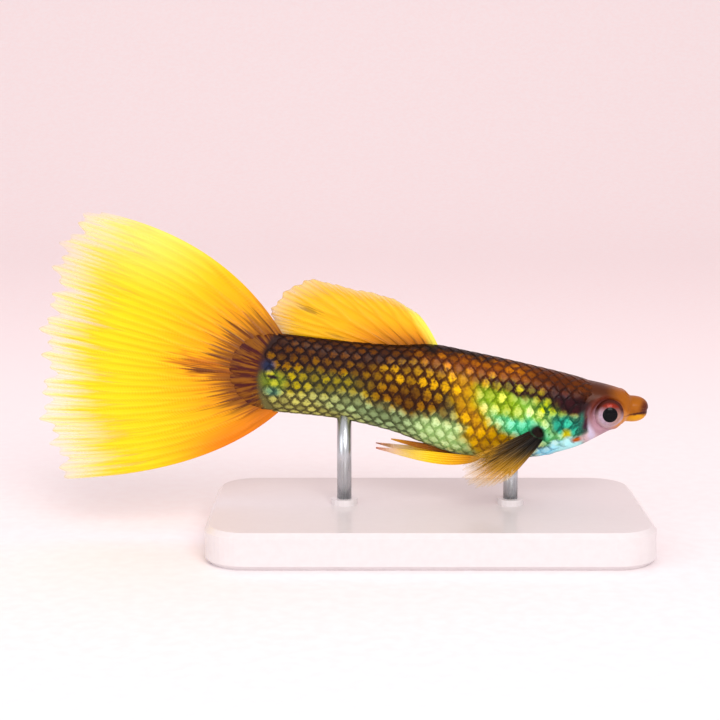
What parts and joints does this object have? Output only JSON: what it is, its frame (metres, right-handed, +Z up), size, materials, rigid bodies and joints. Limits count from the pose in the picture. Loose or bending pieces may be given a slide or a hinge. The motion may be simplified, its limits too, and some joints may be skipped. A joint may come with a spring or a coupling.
{
  "type": "fish model",
  "caption": "Male fancy guppy swimming with its fan tail and fins spread, a life-size still model on a plain flat stand with short rods.",
  "frame": {"origin": "centre of the flat underside of the stand's base, midway between the two rods", "axes": "+X the way the fish swims, +Y to its left, +Z up"},
  "size_m": [0.05, 0.02, 0.0275],
  "materials": {
    "dark_skin": "wet scaled skin, dark above and iridescent green and gold on the flank",
    "gill_cover": "smooth iridescent skin",
    "lip": "smooth moist skin",
    "eye": "wet black pupil in a silvery ring",
    "yellow_fin": "thin rayed web, see-through towards its margin",
    "dusky_fin": "thin rayed web with dark rays",
    "stand": "pale cast acrylic, softly frosted",
    "rod": "satin"
  },
  "bodies": {
    "root": {"head": "dark_skin", "trunk": "dark_skin", "tail_stalk": "dark_skin", "upper_jaw": "lip", "lower_jaw": "lip", "gill_cover_left": "gill_cover", "gill_cover_right": "gill_cover", "eye_left": "eye", "eye_right": "eye", "caudal_fin": "yellow_fin", "dorsal_fin": "yellow_fin", "gonopodium": "yellow_fin", "pelvic_fin_left": "yellow_fin", "pelvic_fin_right": "yellow_fin", "pectoral_fin_left": "dusky_fin", "pectoral_fin_right": "dusky_fin", "stand_base": "stand", "stand_rod_front": "rod", "stand_rod_rear": "rod"}
  },
  "joints": []
}
